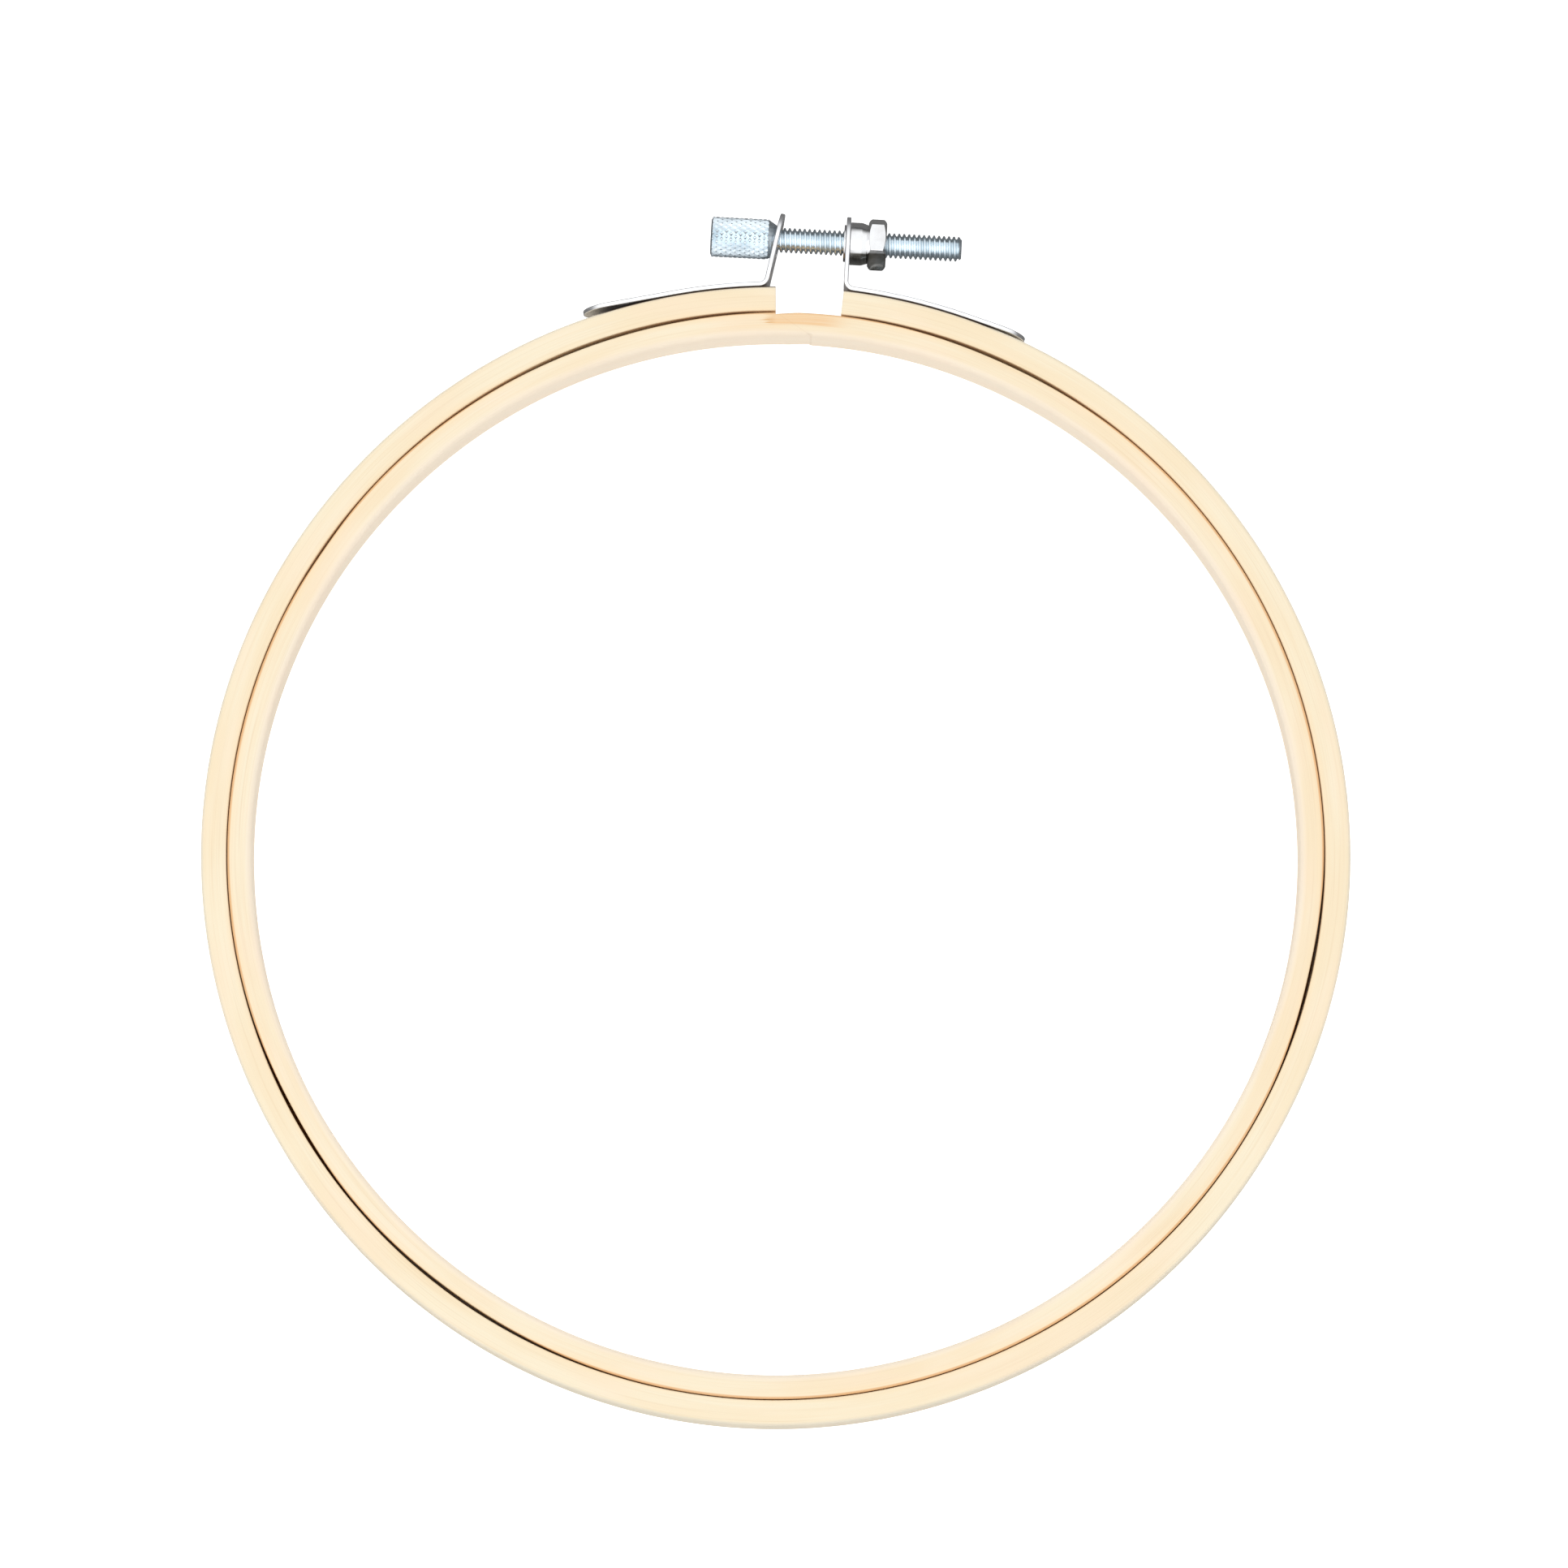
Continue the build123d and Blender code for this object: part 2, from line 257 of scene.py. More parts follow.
# Camera and light, as in the photograph
VIEW_AZIMUTH = math.radians(3.0)
VIEW_ELEVATION = math.radians(82)
VIEW_DISTANCE = 1.4
VIEW_WIDTH = 247.8 * MM           # of the object's plane across the picture
VIEW_AIM = Vector((1.3 * MM, 11.2 * MM))   # picture's middle, right of and above the hoop's middle
VIEW_CLIP = (0.05, 20.0)
SENSOR = 36.0
SKY_COLOUR = (0.97, 0.985, 1.0, 1)
SKY_STRENGTH = (0.1, 0.62, 0.10, 1.2)      # dark at the horizon, bright from some way up
KEY_PLACE = (-0.5, -0.5, 1.9)
KEY_SIZE = 2.2
KEY_POWER = 9
FLOOR_SIZE = 6.0
FLOOR_DROP = 0.05 * MM
FLOOR_GLOW = 0.95                 # a lit white table
FLOOR_UNDER_SEAM = 86.35 * MM     # radius of a narrow band of painted brown shadow that doesn't glow
FLOOR_BAND_HALF = 0.45 * MM
FLOOR_BAND_EDGE = 0.8             # of its half width, where it starts to fade
FLOOR_SHADOW_BAND_COLOUR = (0.16, 0.06, 0.015, 1)
FLOOR_COLOUR = (0.5, 0.5, 0.5, 1)
FLOOR_ROUGHNESS = 0.9
FLOOR_IN_METAL = 0.16             # how bright the table looks in a reflection


# Shader helpers

def new_material(name):
    material = bpy.data.materials.new(name)
    material.use_nodes = True
    nodes = material.node_tree.nodes
    nodes.clear()
    shader = nodes.new("ShaderNodeBsdfPrincipled")
    output = nodes.new("ShaderNodeOutputMaterial")
    material.node_tree.links.new(shader.outputs["BSDF"], output.inputs["Surface"])
    return material, shader


class Nodes:
    """Short ways to add nodes to one tree."""

    def __init__(self, tree):
        self.tree = tree

    def add(self, kind, **settings):
        node = self.tree.nodes.new(kind)
        for name, value in settings.items():
            setattr(node, name, value)
        return node

    def link(self, source, target):
        self.tree.links.new(source, target)

    def feed(self, target, value):
        """A socket takes another node's output or a plain value."""
        if isinstance(value, bpy.types.NodeSocket):
            self.link(value, target)
        else:
            target.default_value = value

    def math(self, operation, first, second=0.0):
        node = self.add("ShaderNodeMath", operation=operation)
        self.feed(node.inputs[0], first)
        self.feed(node.inputs[1], second)
        return node.outputs[0]

    def times(self, first, *others):
        """Product of all of them."""
        for other in others:
            first = self.math("MULTIPLY", first, other)
        return first

    def away(self, value, middle):
        """How far a value is from another, either way."""
        return self.math("ABSOLUTE", self.math("SUBTRACT", value, middle))

    def split(self, vector):
        node = self.add("ShaderNodeSeparateXYZ")
        self.link(vector, node.inputs[0])
        return node.outputs["X"], node.outputs["Y"], node.outputs["Z"]

    def ramp(self, value, low, high, to_low=0.0, to_high=1.0):
        """Smooth step from to_low to to_high as value goes from low to high."""
        node = self.add("ShaderNodeMapRange", interpolation_type="SMOOTHSTEP")
        for socket, number in zip(node.inputs, (value, low, high, to_low, to_high)):
            self.feed(socket, number)
        return node.outputs["Result"]

    def mix(self, share, first, second):
        node = self.add("ShaderNodeMix", data_type="RGBA")
        self.feed(node.inputs["Factor"], share)
        self.feed(node.inputs[6], first)
        self.feed(node.inputs[7], second)
        return node.outputs[2]

    def noise(self, vector, scale, detail, roughness, w=None):
        """3-D noise, or 4-D where w is given."""
        node = self.add("ShaderNodeTexNoise", noise_dimensions="3D" if w is None else "4D")
        self.feed(node.inputs["Vector"], vector)
        self.feed(node.inputs["Scale"], scale)
        node.inputs["Detail"].default_value = detail
        node.inputs["Roughness"].default_value = roughness
        if w is not None:
            self.feed(node.inputs["W"], w)
        return node.outputs["Fac"]

    def bump(self, height, strength, distance):
        node = self.add("ShaderNodeBump")
        node.inputs["Strength"].default_value = strength
        node.inputs["Distance"].default_value = distance
        self.link(height, node.inputs["Height"])
        return node.outputs["Normal"]

    def group(self, tree, place):
        """A shader group at a place; what it puts out, by name."""
        node = self.add("ShaderNodeGroup", node_tree=tree)
        self.link(place, node.inputs["Place"])
        return node.outputs


def new_group(name, inputs, outputs):
    """Empty shader group: names and defaults in (the first is the place), names out."""
    tree = bpy.data.node_groups.new(name, "ShaderNodeTree")
    place = tree.interface.new_socket("Place", in_out="INPUT", socket_type="NodeSocketVector")
    place.default_value = (0, 0, 0)
    for label, default in inputs:
        socket = tree.interface.new_socket(label, in_out="INPUT", socket_type="NodeSocketFloat")
        socket.default_value = default
    for label in outputs:
        tree.interface.new_socket(label, in_out="OUTPUT", socket_type="NodeSocketFloat")
    nodes = Nodes(tree)
    return tree, nodes, nodes.add("NodeGroupInput").outputs, nodes.add("NodeGroupOutput").inputs


# Bamboo

def bent_strip_group():
    """Places in a bent strip: distance from the hoop's axis, height, and the way along it as a direction.

    They come from where each point lies at rest, so the grain stays in the wood when the ring bends.
    """
    tree, n, given, result = new_group("bent_strip_places", [], ["Radius", "Height", "Along x", "Along y"])
    x, y, z = n.split(given["Place"])
    flat = n.add("ShaderNodeCombineXYZ")
    n.link(x, flat.inputs["X"])
    n.link(y, flat.inputs["Y"])
    length = n.add("ShaderNodeVectorMath", operation="LENGTH")
    n.link(flat.outputs[0], length.inputs[0])
    radius = length.outputs["Value"]
    n.link(radius, result["Radius"])
    n.link(z, result["Height"])
    n.link(n.math("DIVIDE", x, radius), result["Along x"])
    n.link(n.math("DIVIDE", y, radius), result["Along y"])
    return tree


def fibre_group(places):
    """Bamboo's fibres.

    Long fine streaks, broad patches and blush, and the dark bundles that show as dashes, or as dots on a
    cut end.
    """
    tree, n, given, result = new_group(
        "bamboo_fibres",
        [("Streak width", 0.35 * MM), ("Streak length", 24.0 * MM),
         ("Bundle width", 0.5 * MM), ("Bundle length", 30.0 * MM)],
        ["Streaks", "Fine streaks", "Bundles", "Patches", "Blush"],
    )
    where = n.group(places, given["Place"])
    streak_width, streak_length = given["Streak width"], given["Streak length"]

    def stretched(width, length):
        """Coordinates that are long along the strip and narrow across it, and W."""
        combine = n.add("ShaderNodeCombineXYZ")
        n.link(n.math("DIVIDE", where["Radius"], width), combine.inputs["X"])
        n.link(n.math("DIVIDE", where["Height"], width), combine.inputs["Y"])
        turns = n.math("DIVIDE", outer_outside, length)
        n.link(n.times(where["Along x"], turns), combine.inputs["Z"])
        return combine.outputs[0], n.times(where["Along y"], turns)

    vector, w = stretched(streak_width, streak_length)
    n.link(n.noise(vector, 1.0, 3.0, 0.55, w), result["Streaks"])
    vector, w = stretched(n.times(streak_width, FINE_WIDTH), streak_length)
    n.link(n.noise(vector, 1.0, 2.0, 0.6, w), result["Fine streaks"])
    vector, w = stretched(given["Bundle width"], given["Bundle length"])
    cells = n.add("ShaderNodeTexVoronoi", voronoi_dimensions="4D", feature="F1")
    n.link(vector, cells.inputs["Vector"])
    n.link(w, cells.inputs["W"])
    cells.inputs["Scale"].default_value = 1.0
    n.link(n.ramp(cells.outputs["Distance"], *BUNDLE_EDGE), result["Bundles"])
    vector, w = stretched(n.times(streak_width, PATCHES_WIDTH), streak_length)
    n.link(n.noise(vector, 1.0, 2.0, 0.5, w), result["Patches"])
    vector, w = stretched(n.times(streak_width, BLUSH_WIDTH), n.times(streak_length, BLUSH_LENGTH))
    n.link(n.noise(vector, 1.0, 1.0, 0.5, n.math("ADD", w, BLUSH_SHIFT)), result["Blush"])
    return tree


def bamboo(name, places, fibres, pale, warm):
    """Sanded bamboo under thin matt varnish.

    Returns the material, its nodes and shader, and what a ring's own marks need: its place, where it lies in
    the strip, its grain and its colour so far.
    """
    material, shader = new_material(name)
    n = Nodes(material.node_tree)
    place = n.add("ShaderNodeAttribute", attribute_name="rest_place").outputs["Vector"]
    where = n.group(places, place)
    grain = n.group(fibres, place)
    fine = grain["Fine streaks"]
    colour = n.mix(n.ramp(grain["Patches"], *PATCHES_RANGE), pale, warm)
    colour = n.mix(n.ramp(grain["Streaks"], *STREAKS_RANGE), colour, warm)
    colour = n.mix(n.ramp(fine, *FINE_RANGE), colour, DARK_FIBRE)
    colour = n.mix(n.times(grain["Bundles"], BUNDLE_SHARE), colour, DARK_FIBRE)
    # painted light: the window wall is painted paler, as if lit from below
    from_window = n.math("SUBTRACT", where["Radius"], window_radius)
    colour = n.mix(n.ramp(from_window, *WINDOW_PAINTED_LIGHT_ZONE), colour, WINDOW_PAINTED_LIGHT)
    # painted shade: the outside wall is painted greyer
    from_outside = n.math("SUBTRACT", outer_outside, where["Radius"])
    colour = n.mix(n.ramp(from_outside, *OUTSIDE_PAINTED_SHADE_ZONE), colour, OUTSIDE_PAINTED_SHADE)
    colour = n.mix(n.ramp(grain["Blush"], *BLUSH_RANGE), colour, BLUSH_WOOD)
    from_seam = n.away(where["Radius"], inner_outside)
    edge = n.times(n.ramp(from_seam, *SEAM_ZONE), n.ramp(grain["Blush"], *SEAM_BLUSH))
    colour = n.mix(edge, colour, SEAM_WOOD)
    # painted shade in the seam between the rings
    seam_shade = n.times(n.ramp(from_seam, *SEAM_PAINTED_SHADE_ZONE), n.ramp(where["Height"], *SEAM_PAINTED_SHADE_HEIGHT))
    colour = n.mix(seam_shade, colour, SEAM_PAINTED_SHADE)
    relief = n.math("ADD", grain["Streaks"], n.times(fine, FINE_RELIEF))
    n.link(n.bump(relief, GRAIN_BUMP, GRAIN_RELIEF), shader.inputs["Normal"])
    n.link(n.ramp(fine, *GRAIN_ROUGHNESS), shader.inputs["Roughness"])
    shader.inputs["Specular IOR Level"].default_value = VARNISH_GLOSS
    return material, n, shader, place, where, grain, colour


def outer_bamboo(places, fibres):
    """With painted shade: its seam browner beside the clamp, and its outside wall darker under the brackets.
    """
    material, n, shader, place, where, _, colour = bamboo(
        "outer_bamboo", places, fibres, OUTER_PALE, OUTER_WARM)
    x, y, z = n.split(place)
    # painted shade: the seam's wall is painted browner beside the clamp
    beside = n.times(n.ramp(n.math("ABSOLUTE", where["Along x"]), *CLAMP_PAINTED_SHADE_ALONG_X),
                     n.ramp(where["Along y"], *CLAMP_PAINTED_SHADE_ALONG_Y))
    in_seam = n.times(n.ramp(n.away(where["Radius"], inner_outside), *CLAMP_PAINTED_SHADE_ZONE),
                      n.ramp(z, *CLAMP_PAINTED_SHADE_TOP), n.ramp(z, *CLAMP_PAINTED_SHADE_HEIGHT))
    colour = n.mix(n.times(in_seam, beside), colour, CLAMP_PAINTED_SHADE)
    # painted shade: the outside wall is painted dark under the brackets
    fade = BRACKET_PAINTED_SHADE_FADE
    covered = n.times(n.ramp(x, bracket_shade_left_x - fade, bracket_shade_left_x + fade),
                      n.ramp(x, bracket_shade_right_x - fade, bracket_shade_right_x + fade, 1.0, 0.0),
                      n.ramp(y, *CLAMP_SIDE_Y))
    wall = n.ramp(where["Radius"], *BRACKET_PAINTED_SHADE_WALL)
    colour = n.mix(n.times(wall, covered), colour, BRACKET_PAINTED_SHADE)
    n.link(colour, shader.inputs["Base Color"])
    return material


def inner_bamboo(places, fibres):
    """With a brown patch and the glue line of the lap between the clamp's ears."""
    material, n, shader, place, where, grain, colour = bamboo(
        "inner_bamboo", places, fibres, INNER_PALE, INNER_WARM)
    x, y, _ = n.split(place)
    depth = n.math("SUBTRACT", inner_outside, where["Radius"])
    at_clamp = n.ramp(y, *CLAMP_SIDE_Y)
    fine, streaks = grain["Fine streaks"], grain["Streaks"]
    # brown patch, ragged along the grain, pointed at its left end
    across = n.math("ADD", x, n.times(n.math("SUBTRACT", fine, 0.5), PATCH_RAGGED))
    pointed = n.times(n.away(depth, PATCH_POINT_DEPTH), PATCH_POINT_SLOPE)
    inwards = n.math("ADD", depth, n.times(n.math("SUBTRACT", streaks, 0.5), PATCH_UNEVEN))
    patch = n.times(n.ramp(n.math("SUBTRACT", across, pointed), *PATCH_LEFT_X),
                    n.ramp(across, *PATCH_RIGHT_X), n.ramp(inwards, *PATCH_DEPTH),
                    at_clamp, n.ramp(fine, *PATCH_FINE))
    colour = n.mix(patch, colour, PATCH_WOOD)
    colour = n.mix(n.times(patch, n.ramp(x, *PATCH_TIP_X)), colour, PATCH_TIP_WOOD)
    # paler streaks run on to the left of it
    trail = n.times(n.ramp(x, *TRAIL_LEFT_X), n.ramp(x, *TRAIL_RIGHT_X), at_clamp,
                    n.ramp(streaks, *TRAIL_STREAKS), n.ramp(depth, *TRAIL_DEPTH))
    colour = n.mix(trail, colour, PATCH_WOOD)
    # the lap's glue line, hair thin, from its outside end to its inside end
    run = (LAP_INSIDE_X - LAP_OUTSIDE_X) / (inner_outside - window_radius)
    from_line = n.away(n.math("SUBTRACT", x, LAP_OUTSIDE_X), n.times(depth, run))
    colour = n.mix(n.times(n.ramp(from_line, *GLUE_LINE_WIDTH), at_clamp), colour, GLUE_LINE)
    n.link(colour, shader.inputs["Base Color"])
    return material


# Plated metal

def plate_group():
    """What bright plating shows close up: faint rubbing marks, and cloudy patches of tarnish."""
    tree, n, given, result = new_group(
        "plating_marks", [("Rub scale", RUB_SCALE), ("Cloud scale", CLOUD_SCALE)], ["Rubs", "Clouds"])
    stretch = n.add("ShaderNodeVectorMath", operation="MULTIPLY")
    n.link(given["Place"], stretch.inputs[0])
    stretch.inputs[1].default_value = RUB_STRETCH
    n.link(n.noise(stretch.outputs[0], given["Rub scale"], 4.0, 0.6), result["Rubs"])
    n.link(n.noise(given["Place"], given["Cloud scale"], 3.0, 0.55), result["Clouds"])
    return tree


def plated(name, marks, bright, dull, roughness, rub_depth, painted_reflection_below=None):
    """Bright plating, with a painted dark reflection where it is further than a distance below the screw's
    axis.
    """
    material, shader = new_material(name)
    n = Nodes(material.node_tree)
    place = n.add("ShaderNodeTexCoord").outputs["Object"]
    found = n.group(marks, place)
    clouds = n.ramp(found["Clouds"], *CLOUDS_RANGE)
    colour = n.mix(clouds, bright, dull)
    if painted_reflection_below is not None:
        # painted reflection: streaky darkening of the lower side
        _, y, _ = n.split(place)
        below = n.math("SUBTRACT", screw_axis.y, y)
        low = n.ramp(below, painted_reflection_below, painted_reflection_below + PAINTED_REFLECTION_EDGE)
        streaky = n.ramp(n.noise(place, PAINTED_REFLECTION_SCALE, 2.0, 0.5), *PAINTED_REFLECTION_RANGE)
        colour = n.mix(n.times(low, streaky), colour, PAINTED_REFLECTION_DARK)
    n.link(colour, shader.inputs["Base Color"])
    shader.inputs["Metallic"].default_value = 1.0
    mixed = n.times(n.math("ADD", clouds, found["Rubs"]), 0.5)
    n.link(n.ramp(mixed, *GLOSS_RANGE, *roughness), shader.inputs["Roughness"])
    n.link(n.bump(found["Rubs"], RUB_BUMP, rub_depth), shader.inputs["Normal"])
    return material


# Mesh helpers

def finished(name, bm, material, sharp_degrees=30):
    """The bmesh becomes a smooth-shaded object at the origin, sharp only past an angle."""
    bmesh.ops.recalc_face_normals(bm, faces=bm.faces[:])
    mesh = bpy.data.meshes.new(name)
    bm.to_mesh(mesh)
    bm.free()
    mesh.shade_smooth()
    mesh.set_sharp_from_angle(angle=math.radians(sharp_degrees))
    mesh.materials.append(material)
    piece = bpy.data.objects.new(name, mesh)
    bpy.context.scene.collection.objects.link(piece)
    return piece


def keep_rest_place(piece):
    """Each point remembers where it lies at rest, for the grain."""
    mesh = piece.data
    places = [number for vert in mesh.vertices for number in vert.co]
    mesh.attributes.new("rest_place", "FLOAT_VECTOR", "POINT").data.foreach_set("vector", places)


def joined(*parts):
    """One bmesh that holds several closed shells."""
    whole = bmesh.new()
    for part in parts:
        bmesh.ops.recalc_face_normals(part, faces=part.faces[:])
        shell = bpy.data.meshes.new("shell")
        part.to_mesh(shell)
        part.free()
        whole.from_mesh(shell)
        bpy.data.meshes.remove(shell)
    return whole


def polar(place):
    return math.hypot(place.x, place.y), math.atan2(place.y, place.x)


# Rings

def strip_section(bm, inside, outside, inside_rounding, outside_rounding):
    """Face of a ring's cross-section on the XZ plane, its four corners sanded round."""
    corners = ((inside, ring_bottom), (outside, ring_bottom), (outside, ring_top), (inside, ring_top))
    bm.faces.new([bm.verts.new((x, 0, z)) for x, z in corners])
    for wall_x, rounding in ((inside, inside_rounding), (outside, outside_rounding)):
        wall = [vert for vert in bm.verts if abs(vert.co.x - wall_x) < NEAR]
        bmesh.ops.bevel(bm, geom=wall, offset=rounding, offset_type="OFFSET", segments=CORNER_SEGMENTS,
                        profile=0.5, affect="VERTICES", material=-1)


def uneven(place):
    """A point shifted by the slight waviness of bent, hand-sanded strip."""
    radius, angle = polar(place)
    way = Vector((math.cos(angle), math.sin(angle), WAVE_PLACE))
    sideways = noise.noise(way * LONG_WAVES) + SHORT_WAVE_SHARE * noise.noise(way * SHORT_WAVES)
    upwards = noise.noise(way * TOP_WAVES + TOP_WAVE_PLACE) - 1
    shift = STRIP_WAVE * sideways * (UPPER_WAVE_SHARE if place.z > 0 else LOWER_WAVE_SHARE)
    rise = STRIP_WAVE * TOP_WAVE_SHARE * upwards * (1 if place.z > 0 else 0)
    radius -= abs(shift) + SANDED_OFF
    return Vector((radius * math.cos(angle), radius * math.sin(angle), place.z + rise))


def seam_shift(angle):
    """How far the inner ring's outside wall stands out of its nominal radius at an angle."""
    shift = SEAM_TAKEN_UP
    for middle, half_width, depth in SEAM_GAPES:
        off = (math.degrees(angle) - middle + 180) % 360 - 180
        shift -= depth * math.exp(-((off / half_width) ** 2))
    return shift


def lap_recess(angle, end_x, wall_radius, into_wood):
    """Depth of a lap's step in a wall, deepest at the strip's end and running out along it."""
    past = (angle - math.acos(end_x / wall_radius)) * wall_radius * into_wood
    if past < 0 or past > LAP_STEP_LENGTH:
        return 0.0
    return LAP_STEP_DEPTH * (1 - past / LAP_STEP_LENGTH)


def cut_lap_step(bm, end_x, wall_radius, into_wood):
    """Two close cuts across the strip, between which the step falls."""
    angle = math.acos(end_x / wall_radius)
    for before in (LAP_STEP_WIDTH, 0.0):
        cut = angle - into_wood * before / wall_radius
        near_clamp = [vert for vert in bm.verts if vert.co.y > 0 and abs(vert.co.x) < LAP_REACH]
        edges = {edge for vert in near_clamp for edge in vert.link_edges}
        faces = {face for vert in near_clamp for face in vert.link_faces}
        bmesh.ops.bisect_plane(bm, geom=near_clamp + list(edges) + list(faces), dist=WELD,
                               plane_co=(0, 0, 0), plane_no=(-math.sin(cut), math.cos(cut), 0))


def inner_ring(material):
    bm = bmesh.new()
    strip_section(bm, window_radius, inner_outside, WINDOW_ROUNDING, SEAM_ROUNDING)
    bmesh.ops.delete(bm, geom=bm.faces[:], context="FACES_ONLY")
    bmesh.ops.spin(bm, geom=bm.verts[:] + bm.edges[:], cent=(0, 0, 0), axis=(0, 0, 1), dvec=(0, 0, 0),
                   angle=math.tau, steps=RING_STEPS, use_merge=True)
    cut_lap_step(bm, LAP_INSIDE_X, window_radius, 1)
    cut_lap_step(bm, LAP_OUTSIDE_X, inner_outside, -1)
    middle = (window_radius + inner_outside) / 2
    for vert in bm.verts:
        radius, angle = polar(vert.co)
        if radius > middle:
            radius += seam_shift(angle)
            radius -= lap_recess(angle, LAP_OUTSIDE_X, inner_outside, -1)
        else:
            radius += lap_recess(angle, LAP_INSIDE_X, window_radius, 1)
            way = Vector((math.cos(angle), math.sin(angle), WINDOW_WAVES))
            radius += STRIP_WAVE * (1 + noise.noise(way * WINDOW_WAVES))
        vert.co = Vector((radius * math.cos(angle), radius * math.sin(angle), vert.co.z))
    piece = finished("inner_ring_wood", bm, material)
    keep_rest_place(piece)
    return piece


def outer_ring_stretch(name, material, start_angle, end_angle, sawn_angle):
    """Part of the split ring between two angles; sawn_angle is the one that is an end of the wood."""
    bm = bmesh.new()
    strip_section(bm, outer_outside - OUTER_WALL, outer_outside, SEAM_ROUNDING, OUTSIDE_ROUNDING)
    bmesh.ops.rotate(bm, verts=bm.verts[:], cent=(0, 0, 0), matrix=Matrix.Rotation(start_angle, 3, "Z"))
    steps = round(RING_STEPS * (end_angle - start_angle) / math.tau)
    bmesh.ops.spin(bm, geom=bm.verts[:] + bm.edges[:] + bm.faces[:], cent=(0, 0, 0), axis=(0, 0, 1),
                   dvec=(0, 0, 0), angle=end_angle - start_angle, steps=steps, use_merge=False)
    end_way = Vector((math.cos(sawn_angle), math.sin(sawn_angle), 0))
    caps = [face for face in bm.faces if len(face.verts) > 4]
    sawn = min(caps, key=lambda face: (face.calc_center_median().normalized() - end_way).length)
    bmesh.ops.bevel(bm, geom=list(sawn.edges), offset=SAWN_EDGE, offset_type="OFFSET", segments=2,
                    profile=0.5, affect="EDGES", material=-1)
    for vert in bm.verts:
        vert.co = uneven(vert.co)
    piece = finished(name, bm, material)
    keep_rest_place(piece)
    return piece


def outer_ring(material):
    """Two stretches that meet at the leftmost point: one from there round to the clamp's right end, the
    other from the clamp's left end.
    """
    right_end = math.acos(RIGHT_END_X / outer_outside)
    left_end = math.acos(LEFT_END_X / outer_outside)
    held = outer_ring_stretch("outer_ring_wood", material, -math.pi, right_end, right_end)
    bending = outer_ring_stretch("outer_ring_left_wood", material, left_end, math.pi, left_end)
    return held, bending


# Clamp screw

def about_screw_axis(x, radius, turn):
    """Point at a radius from the screw's axis, turned from +Y towards +Z."""
    return Vector((x, screw_axis.y + radius * math.cos(turn), radius * math.sin(turn)))


def from_screw_axis(place):
    return math.hypot(place.y - screw_axis.y, place.z), math.atan2(place.z, place.y - screw_axis.y)


def lathe(outline, steps):
    """Closed outline of (x, radius) points turned about the screw's axis."""
    bm = bmesh.new()
    verts = [bm.verts.new(about_screw_axis(x, radius, 0)) for x, radius in outline]
    edges = [bm.edges.new(pair) for pair in zip(verts, verts[1:] + verts[:1])]
    bmesh.ops.spin(bm, geom=verts + edges, cent=screw_axis, axis=(1, 0, 0), dvec=(0, 0, 0),
                   angle=math.tau, steps=steps, use_merge=True)
    bmesh.ops.remove_doubles(bm, verts=bm.verts[:], dist=WELD)
    return bm


def cut_off(bm, place, outward, weld):
    """Everything beyond a plane goes."""
    bmesh.ops.bisect_plane(bm, geom=bm.verts[:] + bm.edges[:] + bm.faces[:], dist=weld, plane_co=place,
                           plane_no=outward, clear_outer=True)


def soften_edges(bm, radius, segments, over_degrees):
    """Round every edge that turns by more than an angle."""
    bmesh.ops.recalc_face_normals(bm, faces=bm.faces[:])
    sharp = [edge for edge in bm.edges
             if len(edge.link_faces) == 2 and edge.calc_face_angle() > math.radians(over_degrees)]
    bmesh.ops.bevel(bm, geom=sharp, offset=radius, offset_type="OFFSET", segments=segments,
                    profile=0.5, affect="EDGES", material=-1)


def thread(start_x, tip_x):
    """Right-hand helical thread, cut square at both ends and chamfered at its tip."""
    bm = bmesh.new()
    verts = []
    for point in range(THREAD_POINTS + 1):
        share = point / THREAD_POINTS
        swell = 0.5 - 0.5 * math.cos(math.tau * share)
        rise = min(1.0, max(0.0, THREAD_RISE * swell - THREAD_FALL))
        radius = THREAD_RADIUS - THREAD_DEPTH * (1 - rise)
        x = start_x - THREAD_PITCH * (THREAD_LEAD - share)
        verts.append(bm.verts.new(about_screw_axis(x, radius, 0)))
    edges = [bm.edges.new(pair) for pair in zip(verts, verts[1:])]
    turns = math.ceil((tip_x - start_x) / THREAD_PITCH) + THREAD_SPARE_TURNS
    bmesh.ops.spin(bm, geom=verts + edges, cent=screw_axis, axis=(1, 0, 0), angle=math.tau,
                   dvec=(THREAD_PITCH / THREAD_STEPS, 0, 0), steps=THREAD_STEPS, use_merge=False)
    bmesh.ops.spin(bm, geom=bm.verts[:] + bm.edges[:] + bm.faces[:], cent=screw_axis, axis=(1, 0, 0),
                   dvec=(THREAD_PITCH, 0, 0), angle=0.0, steps=turns, use_duplicate=True)
    bmesh.ops.remove_doubles(bm, verts=bm.verts[:], dist=NEAR)
    for x, side in ((start_x, -1), (tip_x, 1)):
        cut_off(bm, (x, 0, 0), (side, 0, 0), WELD)
    for vert in bm.verts:
        radius, turn = from_screw_axis(vert.co)
        allowed = THREAD_RADIUS - max(0.0, vert.co.x - (tip_x - TIP_CHAMFER))
        vert.co = about_screw_axis(vert.co.x, min(radius, allowed), turn)
    bmesh.ops.holes_fill(bm, edges=[edge for edge in bm.edges if edge.is_boundary], sides=0)
    return bm


